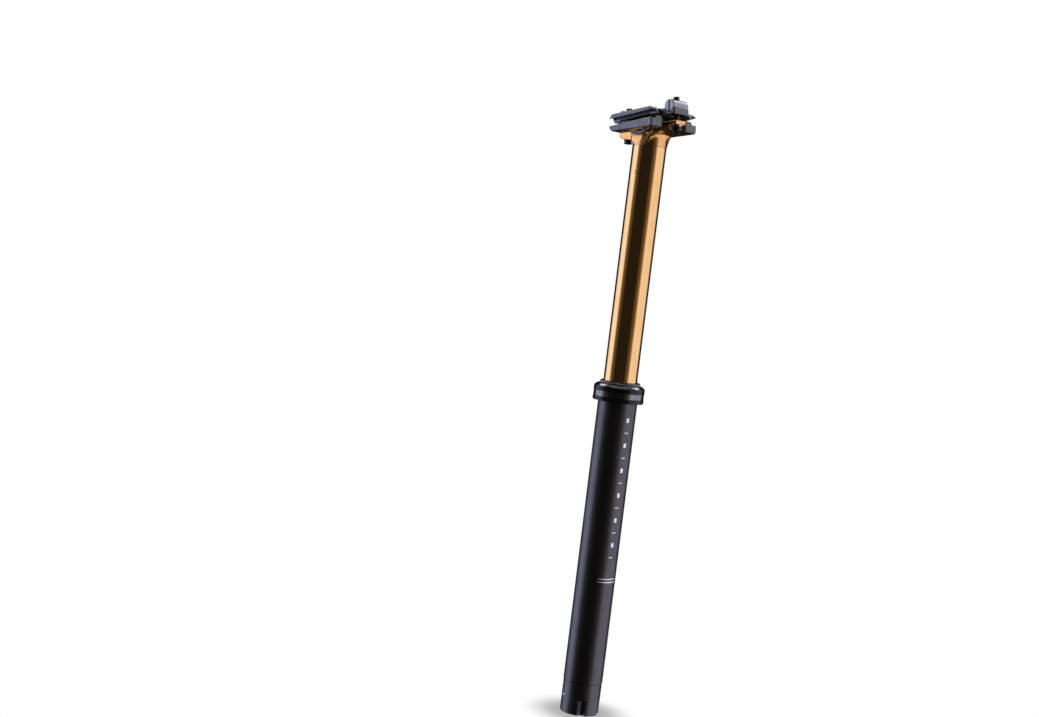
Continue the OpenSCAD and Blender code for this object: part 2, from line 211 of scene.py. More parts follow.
def place_clamp(points):
    """Points in the clamp's frame, put into the row frame."""
    x, z = from_clamp(points[:, 0], points[:, 2])
    return np.stack([x, points[:, 1], z], axis=1)


def new_mesh(name, points, faces, smooth=True):
    """An object from points in millimetres, its faces turned outwards."""
    mesh = bpy.data.meshes.new(name)
    mesh.from_pydata([tuple(p) for p in np.asarray(points) * MM], [], faces)
    mesh.update()
    mesh.polygons.foreach_set("use_smooth", [smooth] * len(mesh.polygons))
    if signed_volume(mesh) < 0:
        mesh.flip_normals()
    obj = bpy.data.objects.new(name, mesh)
    bpy.context.scene.collection.objects.link(obj)
    return obj


def signed_volume(mesh):
    """Six times the volume inside a closed mesh, under zero if its faces look inwards."""
    mesh.calc_loop_triangles()
    corners = np.zeros(len(mesh.vertices) * 3)
    mesh.vertices.foreach_get("co", corners)
    tri = np.zeros(len(mesh.loop_triangles) * 3, int)
    mesh.loop_triangles.foreach_get("vertices", tri)
    a, b, c = (corners.reshape(-1, 3)[tri.reshape(-1, 3)[:, i]] for i in range(3))
    return float(np.einsum("ij,ij->i", a, np.cross(b, c)).sum())


# ---------------------------------------------------------------- lathed and swept pieces
# The number after a lathe's outline is how far from a corner its rounding starts, in millimetres.

def filleted(profile, radius, steps=4):
    """A closed outline with its corners rounded, by less where an edge is short."""
    out = []
    n = len(profile)
    for i in range(n):
        before, here, after = (Vector(profile[(i + k) % n]) for k in (-1, 0, 1))
        a, b = before - here, after - here
        reach = min(radius, 0.45 * a.length, 0.45 * b.length)
        if reach < 1e-4:
            out.append(here)
            continue
        p, q = here + a.normalized() * reach, here + b.normalized() * reach
        for k in range(steps + 1):
            t = k / steps
            out.append(p * (1 - t) ** 2 + here * 2 * t * (1 - t) + q * t ** 2)
    return out


def lathe(name, profile, radius=0.3, sides=192, axis="z", centre=(0, 0, 0), steps=4):
    """Turns a closed outline of radius and height round an axis through centre."""
    outline = filleted(profile, radius, steps)
    rings = len(outline)
    points, faces = [], []
    for i in range(sides):
        t = 2 * math.pi * i / sides
        for r, h in outline:
            p = (r * math.cos(t), r * math.sin(t), h)
            points.append(p if axis == "z" else (p[0], p[2], -p[1]))
        for j in range(rings):
            a, b = i * rings + j, i * rings + (j + 1) % rings
            c, d = ((i + 1) % sides) * rings + (j + 1) % rings, ((i + 1) % sides) * rings + j
            faces.append((a, d, c, b))
    return new_mesh(name, np.array(points) + np.array(centre, float), faces)


def tilted(obj):
    """Puts a piece drawn in the clamp's frame into the row frame."""
    mesh = obj.data
    co = np.zeros(len(mesh.vertices) * 3)
    mesh.vertices.foreach_get("co", co)
    mesh.vertices.foreach_set("co", (place_clamp(co.reshape(-1, 3) / MM) * MM).ravel())
    mesh.update()
    return obj


def sweep(name, path, radius, sides=8, closed=False):
    """A round wire along a path in millimetres."""
    path = np.asarray(path, float)
    n = len(path)
    ahead = np.roll(path, -1, 0) - np.roll(path, 1, 0)
    if not closed:
        ahead[0], ahead[-1] = path[1] - path[0], path[-1] - path[-2]
    ahead /= np.linalg.norm(ahead, axis=1)[:, None]
    up = np.array([0.0, 0.0, 1.0])
    side = np.cross(ahead, up)
    side /= np.linalg.norm(side, axis=1)[:, None]
    top = np.cross(side, ahead)
    points, faces = [], []
    for k in range(sides):
        t = 2 * math.pi * k / sides
        points.append(path + radius * (math.cos(t) * side + math.sin(t) * top))
    points = np.stack(points, axis=1).reshape(-1, 3)
    for i in range(n if closed else n - 1):
        j = (i + 1) % n
        for k in range(sides):
            m = (k + 1) % sides
            faces.append((i * sides + k, i * sides + m, j * sides + m, j * sides + k))
    if not closed:
        faces.append(tuple(range(sides - 1, -1, -1)))
        faces.append(tuple((n - 1) * sides + k for k in range(sides)))
    return new_mesh(name, points, faces)


# ---------------------------------------------------------------- materials

def link(tree, out, into):
    tree.links.new(out, into)


def stretched(tree, scale):
    """Object coordinates in millimetres, stretched by scale."""
    coords = tree.nodes.new("ShaderNodeTexCoord")
    mapping = tree.nodes.new("ShaderNodeMapping")
    mapping.inputs["Scale"].default_value = [1000 * v for v in scale]
    link(tree, coords.outputs["Object"], mapping.inputs["Vector"])
    return mapping.outputs["Vector"]


def noise(tree, scale, detail=4.0, rough=0.5):
    """Noise from 0 to 1 whose features are 1/scale millimetres across."""
    node = tree.nodes.new("ShaderNodeTexNoise")
    node.inputs["Scale"].default_value = 1.0
    node.inputs["Detail"].default_value = detail
    node.inputs["Roughness"].default_value = rough
    link(tree, stretched(tree, scale), node.inputs["Vector"])
    return node.outputs["Fac"]


def remap(tree, value, low, high, to_low, to_high):
    """Carries a value from one range to another and keeps it inside."""
    node = tree.nodes.new("ShaderNodeMapRange")
    for key, number in (("From Min", low), ("From Max", high), ("To Min", to_low), ("To Max", to_high)):
        node.inputs[key].default_value = number
    link(tree, value, node.inputs["Value"])
    return node.outputs["Result"]


def mixed(tree, fac, a, b):
    """Colour a where fac is 0 and b where it is 1; b may come from a socket."""
    node = tree.nodes.new("ShaderNodeMix")
    node.data_type = "RGBA"
    link(tree, fac, node.inputs["Factor"])
    for socket, colour in ((node.inputs[6], a), (node.inputs[7], b)):
        if isinstance(colour, bpy.types.NodeSocket):
            link(tree, colour, socket)
        else:
            socket.default_value = (*colour, 1)
    return node.outputs[2]


def bumped(tree, value, height, normal=None):
    """A bump of that height in millimetres, laid on another bump if one is given."""
    node = tree.nodes.new("ShaderNodeBump")
    node.inputs["Strength"].default_value = 1.0
    node.inputs["Distance"].default_value = height * MM
    link(tree, value, node.inputs["Height"])
    if normal is not None:
        link(tree, normal, node.inputs["Normal"])
    return node.outputs["Normal"]


def material(name, colour, tint, metallic, rough, grain=None, pits=None, wear=None, specular=0.5, sheen=0.0):
    """A finish: two close colours, a range of roughness, and optional tool marks, blasting and worn edges.

    grain is (stretch, height) for fine lines, pits is (scale, height) for a blasted or moulded skin, and
    wear is (colour, low, high) for edges rubbed back, between those two values of pointiness.
    """
    clouds, smears, most_wear = (0.12, 0.12, 0.08), (0.35, 0.35, 0.2), 0.55
    made = bpy.data.materials.new(name)
    made.use_nodes = True
    tree = made.node_tree
    shader = tree.nodes["Principled BSDF"]
    shader.inputs["Metallic"].default_value = metallic
    shader.inputs["Specular IOR Level"].default_value = specular
    shader.inputs["Sheen Weight"].default_value = sheen
    cloudy = noise(tree, clouds, 5, 0.6)
    surface = mixed(tree, remap(tree, cloudy, 0.35, 0.65, 0, 1), colour, tint)
    smudges = noise(tree, smears, 6, 0.65)
    roughness = remap(tree, smudges, 0.3, 0.7, rough[0], rough[1])
    normal = None
    if grain:
        lines = noise(tree, grain[0], 2, 0.5)
        normal = bumped(tree, lines, grain[1])
    if pits:
        normal = bumped(tree, noise(tree, (pits[0],) * 3, 3, 0.6), pits[1], normal)
    if wear:
        geometry = tree.nodes.new("ShaderNodeNewGeometry")
        edge = remap(tree, geometry.outputs["Pointiness"], wear[1], wear[2], 0, most_wear)
        surface = mixed(tree, edge, surface, wear[0])
    link(tree, surface, shader.inputs["Base Color"])
    link(tree, roughness, shader.inputs["Roughness"])
    if normal is not None:
        link(tree, normal, shader.inputs["Normal"])
    return made


# Grain of turned and of drawn metal, as features per millimetre along x, y and z, and colours of worn edges
TURNED, DRAWN = (0.3, 0.3, 9), (6, 6, 0.05)
RUBBED, BARE = (0.35, 0.35, 0.36), (0.6, 0.6, 0.62)
FINISHES = {
    "gold_tube": dict(colour=(0.79, 0.48, 0.19), tint=(0.84, 0.54, 0.24), metallic=1, rough=(0.10, 0.17),
                      grain=((0.4, 0.4, 14), 0.0004)),
    "gold_head": dict(colour=(0.7, 0.38, 0.135), tint=(0.76, 0.44, 0.17), metallic=1, rough=(0.19, 0.27),
                      pits=(3.0, 0.003), wear=((0.9, 0.72, 0.5), 0.52, 0.6)),
    "tube_black": dict(colour=(0.085, 0.086, 0.094), tint=(0.1, 0.101, 0.11), metallic=0.9,
                       rough=(0.29, 0.37), grain=((0.5, 0.5, 8), 0.0012), pits=(7.0, 0.0015)),
    "collar_black": dict(colour=(0.012, 0.012, 0.014), tint=(0.018, 0.018, 0.02), metallic=0.3,
                         rough=(0.12, 0.2), grain=(TURNED, 0.0008), specular=0.3),
    "collar_satin": dict(colour=(0.16, 0.163, 0.175), tint=(0.2, 0.203, 0.215), metallic=1,
                         rough=(0.13, 0.2), grain=(TURNED, 0.001)),
    "wiper_gloss": dict(colour=(0.03, 0.03, 0.031), tint=(0.042, 0.042, 0.043), metallic=0,
                        rough=(0.16, 0.26), pits=(5.0, 0.002), specular=1.0),
    "rubber": dict(colour=(0.016, 0.016, 0.017), tint=(0.024, 0.024, 0.025), metallic=0, rough=(0.42, 0.6),
                   pits=(5.0, 0.004), sheen=0.1),
    "clamp_black": dict(colour=(0.12, 0.12, 0.126), tint=(0.145, 0.145, 0.152), metallic=0.95,
                        rough=(0.3, 0.42), pits=(6.0, 0.003), wear=((0.3, 0.31, 0.33), 0.53, 0.62)),
    "bolt_black": dict(colour=(0.05, 0.05, 0.053), tint=(0.07, 0.07, 0.073), metallic=0.9,
                       rough=(0.26, 0.4), grain=(TURNED, 0.002), wear=(RUBBED, 0.54, 0.62)),
    "steel": dict(colour=(0.55, 0.56, 0.58), tint=(0.62, 0.63, 0.65), metallic=1, rough=(0.2, 0.32),
                  grain=(TURNED, 0.002)),
    "nut_grey": dict(colour=(0.24, 0.245, 0.26), tint=(0.3, 0.305, 0.32), metallic=1, rough=(0.26, 0.38),
                     grain=(TURNED, 0.002), wear=(BARE, 0.54, 0.62)),
    "polished": dict(colour=(0.68, 0.69, 0.71), tint=(0.74, 0.75, 0.77), metallic=1, rough=(0.08, 0.14),
                     grain=(TURNED, 0.0006)),
    "drawn": dict(colour=(0.66, 0.67, 0.69), tint=(0.72, 0.73, 0.75), metallic=1, rough=(0.25, 0.36),
                  grain=(DRAWN, 0.002)),
    "bronze": dict(colour=(0.52, 0.36, 0.16), tint=(0.6, 0.43, 0.2), metallic=1, rough=(0.22, 0.34),
                   grain=(TURNED, 0.002)),
    "brass": dict(colour=(0.68, 0.48, 0.2), tint=(0.74, 0.54, 0.24), metallic=1, rough=(0.2, 0.32),
                  grain=(TURNED, 0.002)),
    "polymer": dict(colour=(0.17, 0.16, 0.11), tint=(0.22, 0.2, 0.14), metallic=0, rough=(0.4, 0.55),
                    pits=(4.0, 0.004)),
    "lever_grey": dict(colour=(0.2, 0.205, 0.22), tint=(0.25, 0.255, 0.27), metallic=0.9, rough=(0.3, 0.42),
                       pits=(6.0, 0.003), wear=(BARE, 0.53, 0.62)),
    "ink": dict(colour=(0.88, 0.88, 0.88), tint=(0.94, 0.94, 0.94), metallic=0.8, rough=(0.4, 0.5),
                pits=(9.0, 0.001)),
    "dark_ink": dict(colour=(0.03, 0.02, 0.012), tint=(0.045, 0.03, 0.018), metallic=0, rough=(0.4, 0.5),
                     pits=(9.0, 0.001)),
}
PAINT = {name: material(name, **look) for name, look in FINISHES.items()}


def paint(obj, finish):
    """Gives a piece or a CAD node its one finish."""
    slots = obj.data.materials
    if len(slots):
        for i in range(len(slots)):
            slots[i] = PAINT[finish]
    else:
        slots.append(PAINT[finish])


def fit(obj, body, finish, slot, *stands_for):
    """Paints a piece, lets it ride on a body and hides the CAD parts it stands for."""
    paint(obj, finish)
    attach(obj, body)
    if stands_for:
        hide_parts(*stands_for)
    return obj


# ---------------------------------------------------------------- lower post

def make_outer_tube():
    """The outer tube, a little thinner where the collar screws on."""
    top, low, thread_r = outer_high.z, outer_low.z, outer_r - 0.4
    profile = [(outer_r - OUTER_WALL, low), (outer_r, low), (outer_r, 0), (thread_r, 0), (thread_r, top),
               (outer_r - OUTER_WALL, top)]
    tube = lathe("outer_tube_turned", profile, 0.25)
    fit(tube, "lower_post", "tube_black", "anodised_black", "outer_tube")


def printed(name, patches, r, body, finish, slot):
    """Thin patches of ink on a tube: each is (angle, half angle, z low, z high), in degrees and mm."""
    points, faces = [], []
    sunk, proud = 0.01, 0.02
    for middle, half, z0, z1 in patches:
        base = len(points)
        across = max(8, int(2 * half))
        for i in range(across + 1):
            t = math.radians(middle - half + 2 * half * i / across)
            for rr in (r - sunk, r + proud):
                for z in (z0, z1):
                    points.append((rr * math.cos(t), rr * math.sin(t), z))
        for i in range(across):
            a = base + 4 * i
            for p, q in ((0, 1), (1, 3), (3, 2), (2, 0)):
                faces.append((a + p, a + q, a + 4 + q, a + 4 + p))
        faces.append((base, base + 2, base + 3, base + 1))
        end = base + 4 * across
        faces.append((end, end + 1, end + 3, end + 2))
    fit(new_mesh(name, points, faces, smooth=False), body, finish, slot)


def make_scale():
    """Height scale on the outer tube: a block and a dash in turn, and a double line for least insertion."""
    facing, first, spacing, least, gap = 174.5, -13.0, 9.8, -138, 2.5
    dash, mark, line = (6.5, 0.3), (4.2, 1.7), (32, 0.4)  # half widths in degrees and half heights
    rows = [(first - spacing * k, dash if k % 2 else mark) for k in range(12)]
    rows += [(least, line), (least - gap, line)]
    ticks = [(facing, half_w, z - half_h, z + half_h) for z, (half_w, half_h) in rows]
    printed("insertion_scale", ticks, outer_r, "lower_post", "ink", "anodised_black")


def make_collar():
    """The screw collar: a bulged rim below and above a plain band, and a chamfer at the top."""
    h, r = collar_high.z, collar_r
    band_low, band_high, band_r = 3.4, 7.8, r - 0.3
    thread_r, shelf_r, shelf_z = outer_r - 0.38, outer_r + 1.0, outer_high.z + 1.1
    lower_rim, upper_rim = (0, band_low, 0.6), (band_high, h - 1.9, 0.25)

    def rim(low, high, bulge):
        turns = [math.radians(-80 + 16 * k) for k in range(1, 10)]
        middle, half = (low + high) / 2, (high - low) / 2
        return [(r - bulge + bulge * math.cos(t), middle + half * math.sin(t)) for t in turns]

    profile = [(thread_r, 0), (r - 0.7, 0), *rim(*lower_rim), (band_r, band_low), (band_r, band_high),
               *rim(*upper_rim), (r - 0.25, h - 1.6), (r - 1.9, h), (shelf_r, h), (shelf_r, shelf_z),
               (thread_r, shelf_z)]
    turned = lathe("collar_turned", profile, 0.15, 256, steps=2)
    fit(turned, "lower_post", "collar_black", "collar_black", "collar")
    # the band and the chamfer have a finer, brighter turned finish, in a thin skin of their own
    skin, depth = 0.06, 0.4
    band = [(band_r, band_low + 0.1), (band_r, band_high - 0.1)]
    chamfer = [(r - 0.3, h - 1.55), (r - 1.85, h - 0.05)]
    for name, outline, sink in (("collar_band", band, 0), ("collar_chamfer", chamfer, 0.3)):
        outer = [(x + skin, z + skin) for x, z in outline]
        inner = [(x - depth, z - sink) for x, z in reversed(outline)]
        ring = lathe(name, outer + inner, 0.03, 256, steps=2)
        fit(ring, "lower_post", "collar_satin", "collar_black", "collar")


def make_wiper():
    """The wiper with its lip on the gold tube, and the garter spring that holds it there."""
    top, r = wiper_high.z, outer_r
    lip, body, low = upper_r + 0.05, r + 0.98, wiper_low.z
    h = collar_high.z
    profile = [(upper_r + 0.6, low), (body, low), (body, h + 0.02), (body + 0.5, h + 0.02),
               (body + 0.5, h + 0.5), (r + 0.15, h + 1.1), (r - 0.17, h + 1.3), (r - 0.17, h + 1.7),
               (r + 0.12, h + 1.9), (r + 0.1, top - 0.7), (r - 0.2, top - 0.2), (lip + 0.5, top),
               (lip, top - 0.3), (lip, top - 0.8), (upper_r + 0.6, top - 1.8)]
    wiper = lathe("wiper_moulded", profile, 0.12, 256)
    fit(wiper, "lower_post", "wiper_gloss", "wiper_rubber", "wiper_seal")
    ring_r = (garter_high.x + (garter_high.x - (garter_high.z - garter_low.z))) / 2
    wire, coil, spacing, mid_z = 0.11, 0.27, 0.42, (garter_low.z + garter_high.z) / 2
    turns, steps = int(2 * math.pi * ring_r / spacing), 8
    path = []
    for i in range(turns * steps):
        a, b = 2 * math.pi * i / (turns * steps), 2 * math.pi * i / steps
        r_here = ring_r + coil * math.cos(b)
        path.append((r_here * math.cos(a), r_here * math.sin(a), mid_z + coil * math.sin(b)))
    garter = sweep("garter_coil", path, wire, 6, closed=True)
    fit(garter, "lower_post", "polished", "steel_bright", "wiper_garter")


# ---------------------------------------------------------------- upper post

def make_gold_tube():
    """The ground tube below the head, with two short rows of dashes to set the saddle's height by."""
    bore_r, low = upper_r - GOLD_WALL, upper_low.z
    profile = [(bore_r, low), (upper_r, low), (upper_r, seam_z), (bore_r, seam_z)]
    tube = lathe("gold_tube_ground", profile, 0.3, 256)
    fit(tube, "upper_post", "gold_tube", "anodised_gold", "upper_tube")
    rows_z = seam_z - 20
    marks = [(95, 5, 0.3), (106, 2, 0.3), (120, 10, 0.3), (98, 8, 2.3), (118, 6, 2.3)]
    lines = [(middle, half, rows_z - z, rows_z + 0.5 - z) for middle, half, z in marks]
    printed("height_index", lines, upper_r, "upper_post", "dark_ink", "anodised_gold")


def head_field(s, y, u):
    """The forged head: neck, rear arm with its two gussets, and front ear."""
    x, z = from_clamp(s, u)
    side = np.abs(y)
    neck = disc(x, y, 0, 0, upper_r)
    # rear arm: half width and underside as they run back from the neck
    half = np.interp(s, [REAR_END, REAR_END + 1.2, -22, -16, -11, -6.5],
                     [5.4, EAR_HALF, 6.5, 8.6, 10.6, 11.2])
    under = np.interp(s, [REAR_END, -25.2, -21.5, -16.8, -11.6, -8.7, -6.5, -4, 0],
                      [-7.2, -7.9, -8.9, -10.3, -11.6, -13.4, -15.4, -18.8, -20])
    arm_d = both(both(side - half, (under - u) * 0.85, 1.6), span(s, REAR_END, 0), 0.9)
    # front ear, a square-ended block that thickens towards the neck
    ear_low = np.interp(s, [0, 12, 13.6, 14.8, 17.5, 28.6, FRONT_END],
                        [-20, -18.5, -15.5, -13.2, -11.8, -9.1, -7.6])
    ear = both(both(side - EAR_HALF - 0.4, (ear_low - u) * 0.9, 0.9), span(s, 0, FRONT_END), 1.3)
    # square shoulder across the neck
    low = np.interp(s, [0, 8, 11, SHOULDER_END], [-20, -19.6, -17, -13.5])
    shoulder = both(both(side - HEAD_Y - 0.6, (low - u) * 0.7, 1.0), span(s, 0, SHOULDER_END), 1.6)
    solid = union(union(neck, arm_d, 2.2), union(ear, shoulder, 1.4), 1.2)
    # flat sides where the cradle's wings pass, and lower down a milled flat with a round end
    rise = z - neck_z
    area = both(FLAT_X - FLAT_R - x, FLAT_TOP - rise)
    area = union(union(area, FLAT_TOP + 2 - rise, 1.0), disc(x, rise, FLAT_X, FLAT_TOP, FLAT_R))
    solid = cut(solid, both(HEAD_Y - side, area), 0.35)
    solid = both(solid, u - EAR_TOP, 0.9)
    solid = cut(solid, disc(s, u, 0, pivot_u, TROUGH_R), 0.5)
    # hollow for the rear bolt's head, open to the rear, and the seat under the front bolt's head
    front_low = EAR_LOW - FRONT_DROP
    hollow, slot = disc(s, y, -bolt_s, 0, BOLT_HEAD_R + 0.85), both(side - BOLT_HEAD_R - 0.45, s + bolt_s)
    channel = union(hollow, slot, 0.4)
    solid = cut(solid, both(channel, u - EAR_LOW, 0.4), 0.6)
    solid = cut(solid, both(disc(s, y, bolt_s, 0, BOLT_HEAD_R + 0.6), u - front_low, 0.2), 0.4)
    for at in (-bolt_s, bolt_s):
        solid = cut(solid, disc(s, y, at, 0, BOLT_R + BOLT_PLAY), 0.4)
    return both(solid, seam_z + 0.05 - z, 0.25)


def make_head():
    low, high = (REAR_END - 1, -14.5, -23), (FRONT_END + 1, 14.5, -2)
    head = mesh_field("gold_head_forged", head_field, low, high, step=0.27, place=place_clamp)
    fit(head, "upper_post", "gold_head", "anodised_gold", "upper_tube")


def bolt_field(low):
    """A socket head bolt along u, threaded above u = 0, with its head at the bottom."""
    def field(x, y, u):
        around = np.hypot(x, y)
        turn = np.arctan2(y, x) / (2 * math.pi)
        wave = np.abs(((u / THREAD_PITCH - turn) % 1.0) - 0.5) * 2
        depth = THREAD_DEPTH * np.clip(u / THREAD_PITCH, 0, 1) * (1 - wave)
        shank = both((around - BOLT_R + depth) * 0.8, span(u, low + 1, BOLT_TOP), 0.4)
        head = both(around - BOLT_HEAD_R, span(u, low, low + BOLT_HEAD_H), 0.45)
        d = union(head, shank, 0.5)
        socket = both(hexagon(x, y, BOLT_KEY), u - low - 2.4, 0.1)
        bevel = around - BOLT_KEY / 2 - 0.45 + (u - low)
        return cut(cut(d, socket, 0.15), bevel, 0.1)
    return field


def make_bolts():
    """Both bolts with the washer under each head; their heads sit at the bottom, below the ears."""
    box_r, gap = BOLT_HEAD_R + 0.3, 0.02
    for name, at, drop in (("bolt_rear", -bolt_s, 0.0), ("bolt_front", bolt_s, FRONT_DROP)):
        washer_low = EAR_LOW - WASHER_H - drop
        low = EAR_LOW - WASHER_H - BOLT_HEAD_H - drop
        corners = (-box_r, -box_r, low - 0.3), (box_r, box_r, BOLT_TOP + 0.3)
        bolt = mesh_field(name, bolt_field(low), *corners, step=0.14)
        bolt.data.transform(Matrix.Translation((at * MM, 0, 0)))
        fit(tilted(bolt), "upper_post", "bolt_black", "bolt_black", "clamp_bolts")
        in_r, out_r = BOLT_R + 0.05, BOLT_HEAD_R + 0.2
        z0, z1 = washer_low + gap, washer_low + WASHER_H - gap
        profile = [(in_r, z0), (out_r, z0), (out_r, z1), (in_r, z1)]
        washer = lathe(name.replace("bolt", "washer"), profile, 0.15, 96, centre=(at, 0, 0))
        fit(tilted(washer), "upper_post", "steel", "steel_bright", "bolt_washers")


# ---------------------------------------------------------------- saddle clamp

def cradle_field(s, y, u):
    """The lower cradle: a half-round belly in the head's trough, and a grooved wing on each side."""
    side = np.abs(y)
    belly_s, gap = 13.2, 0.06
    belly = both(disc(s, u, 0, pivot_u, TROUGH_R - gap), side - WING_IN - 0.5, 0.8)
    belly = both(belly, span(s, -belly_s, belly_s), 0.6)
    low = np.interp(s, [WING_REAR, WING_REAR + 2, WING_FRONT - 2.6, WING_FRONT], [-9, -9.8, -7, -4.2])
    wing = both(span(side, WING_IN, WING_OUT), (low - u) * 0.95, 1.3)
    wing = both(wing, span(s, WING_REAR, WING_FRONT), 1.3)
    d = both(union(belly, wing, 1.0), u + 1, 0.5)
    d = cut(d, disc(side, u, rail_y, 0, rail_r), 0.35)
    # lightening pockets from below, and two reliefs in each wing's outer lip
    pocket_y, pocket_r, pocket_top = WING_IN + 4.3, 2.4, -4.4
    for at in (-15, -2.5, 10):
        d = cut(d, both(disc(s, side, at, pocket_y, pocket_r), u - pocket_top, 0.3), 0.6)
    for rear, front, floor in ((-4.5, 10, -2.2), (-20, -15, -2.8)):
        d = cut(d, block(s, side, u, (rear, rail_y, floor), (front, rail_y + 5, 2)), 0.4)
    return d


def top_field(s, y, u):
    """The upper clamp: two grooved wings, a bridge with a window, and an arm over each bolt for its nut."""
    side, away = np.abs(y), np.abs(s)
    bridge_s, bridge_y, arm_from, arm_past = 15, 16.5, 14, 5.5
    bolt_window_s, bolt_window_y, window_s, window_y = 4.2, 3.1, 8, 6
    high = np.interp(s, [WING_REAR, WING_REAR + 1.2, WING_FRONT - 1.2, WING_FRONT], [4.8, 5.6, 6.4, 5.6])
    wing = both(both(span(side, 16, WING_OUT), u - high, 1.3), span(s, WING_REAR, WING_FRONT), 1.3)
    crown = np.interp(away, [0, 12, bridge_s], [7.6, 7.4, 6.5])
    bridge = both(both(side - bridge_y, u - crown, 1.0), away - bridge_s, 0.8)
    arm_low, arm_top = 0.4, np.interp(away, [arm_from, 20, 30.6, 31], [7, 6.4, 6, 5.6])
    reach = both(side - NUT_HALF, span(away, arm_from, bolt_s + arm_past), 1.2)
    reach = both(reach, both(u - arm_top, arm_low - u, 0.1), 0.8)
    d = union(union(wing, bridge, 2.0), reach, 1.6)
    # the underside, a little lower under the arms
    d = both(d, np.where(away > 16.5, arm_low, 1.0) - u, 0.5)
    d = cut(d, disc(side, u, rail_y, 0, rail_r), 0.35)
    for at in (-bolt_s, bolt_s):
        d = cut(d, disc(s, u, at, pivot_u, NUT_R + 0.06), 0.3)
        d = cut(d, both(span(s, at - bolt_window_s, at + bolt_window_s), side - bolt_window_y, 0.8), 0.5)
    return cut(d, both(both(away - window_s, side - window_y, 1.5), -2 - u), 0.8)


def make_clamp():
    x, y, meshing = bolt_s + 7, 26, dict(step=0.34, place=place_clamp)
    lower = mesh_field("lower_cradle_milled", cradle_field, (-x, -y, -12), (x, y, 0), **meshing)
    fit(lower, "saddle_clamp", "clamp_black", "clamp_grey", "lower_cradle")
    upper = mesh_field("upper_clamp_milled", top_field, (-x, -y, -1), (x, y, 9), **meshing)
    fit(upper, "saddle_clamp", "clamp_black", "clamp_grey", "upper_clamp")


def nut_field(s, y, u):
    """A barrel nut along Y with a cross hole for the bolt and a slot in each end."""
    hole_r, slot_half, slot_depth = BOLT_R + 0.35, 0.6, 1.2
    d = both(np.hypot(s, u) - NUT_R, np.abs(y) - NUT_HALF, 0.7)
    d = cut(d, np.hypot(s, y) - hole_r, 0.4)
    slot = both(np.abs(s) - slot_half, NUT_HALF - slot_depth - np.abs(y))
    return cut(d, slot, 0.2)


def make_nuts():
    for name, at, body in (("front", bolt_s, "front_barrel_nut"), ("rear", -bolt_s, "rear_barrel_nut")):
        size = (NUT_R + 0.4, NUT_HALF + 0.4, NUT_R + 0.4)
        nut = mesh_field(name + "_nut_turned", nut_field, [-v for v in size], size, step=0.18)
        nut.data.transform(Matrix.Translation((at * MM, 0, pivot_u * MM)))
        fit(tilted(nut), body, "nut_grey", "nut_steel", name + "_nut")


# ---------------------------------------------------------------- foot

def foot_field(x, y, z):
    """The foot: a round housing with a slot for the lever, a cable seat, and scallops at the back."""
    around = np.hypot(x, y)
    bore, rod_r, nut_room_r, boss_r = outer_r - OUTER_WALL, 4.0, 8, 7
    slot_back, slot_half, seat_r, cable_r, pin_r = -8, 4.4, 2.55, 0.9, 1.5
    scallop_x, scallop_y, scallop_r, scallop_h = -12.5, 9.5, 3.0, 12
    plug_top, tube_low = foot_high.z, outer_low.z
    web_low, nut_low, floor_z = plug_top - 4.5, plug_top - 8.5, pivot_z - 6
    d = both(around - bore + 0.02, span(z, tube_low - 1, plug_top), 0.5)
    shell = both(around - outer_r + 0.25, span(z, foot_low.z, tube_low - 0.02), 0.9)
    d = union(d, shell)
    d = cut(d, around - rod_r, 0.3)
    d = cut(d, both(around - nut_room_r, span(z, nut_low - 1.5, web_low)), 0.3)
    slot = both(both(slot_back - x, np.abs(y) - slot_half), span(z, floor_z, nut_low), 0.6)
    d = cut(d, slot, 0.6)
    d = union(d, both(around - boss_r, span(z, foot_low.z + 1, floor_z)), 0.2)
    d = cut(d, both(disc(x, y, 2 * arm, 0, seat_r), z - floor_z + 1), 0.35)
    d = cut(d, disc(x, y, 2 * arm, 0, cable_r), 0.1)
    d = cut(d, disc(x, z, arm, pivot_z, pin_r), 0.3)
    scallop = disc(x, np.abs(y), scallop_x, scallop_y, scallop_r)
    return cut(d, both(scallop, z - foot_low.z - scallop_h, 0.8), 0.8)


def lever_field(x, y, z):
    """The release lever: a hub on its pin, an eye for the cable anchor, and a nose under the push pin."""
    hub_r, eye_r, nose_r, nose_z, half = 3.3, 3.6, 1.5, pivot_z + 1.15, 3
    pin_r, anchor_r, cable_x, cable_y = 1.55, 2.55, 1.6, 0.9
    d = union(disc(x, z, arm, pivot_z, hub_r), disc(x, z, 2 * arm, pivot_z, eye_r), 1.4)
    d = union(d, disc(x, z, 0, nose_z, nose_r))
    low = np.interp(x, [0, arm], [nose_z - 1.4, pivot_z - 3.2])
    high = np.interp(x, [0, arm], [nose_z + 1.3, pivot_z + 2.4])
    d = union(d, both(both(low - z, z - high), span(x, 0, arm)), 0.6)
    d = both(d, np.abs(y) - half, 0.5)
    d = cut(d, disc(x, z, arm, pivot_z, pin_r), 0.2)
    d = cut(d, disc(x, z, 2 * arm, pivot_z, anchor_r), 0.2)
    return cut(d, both(both(np.abs(x - 2 * arm) - cable_x, np.abs(y) - cable_y), z - pivot_z), 0.2)


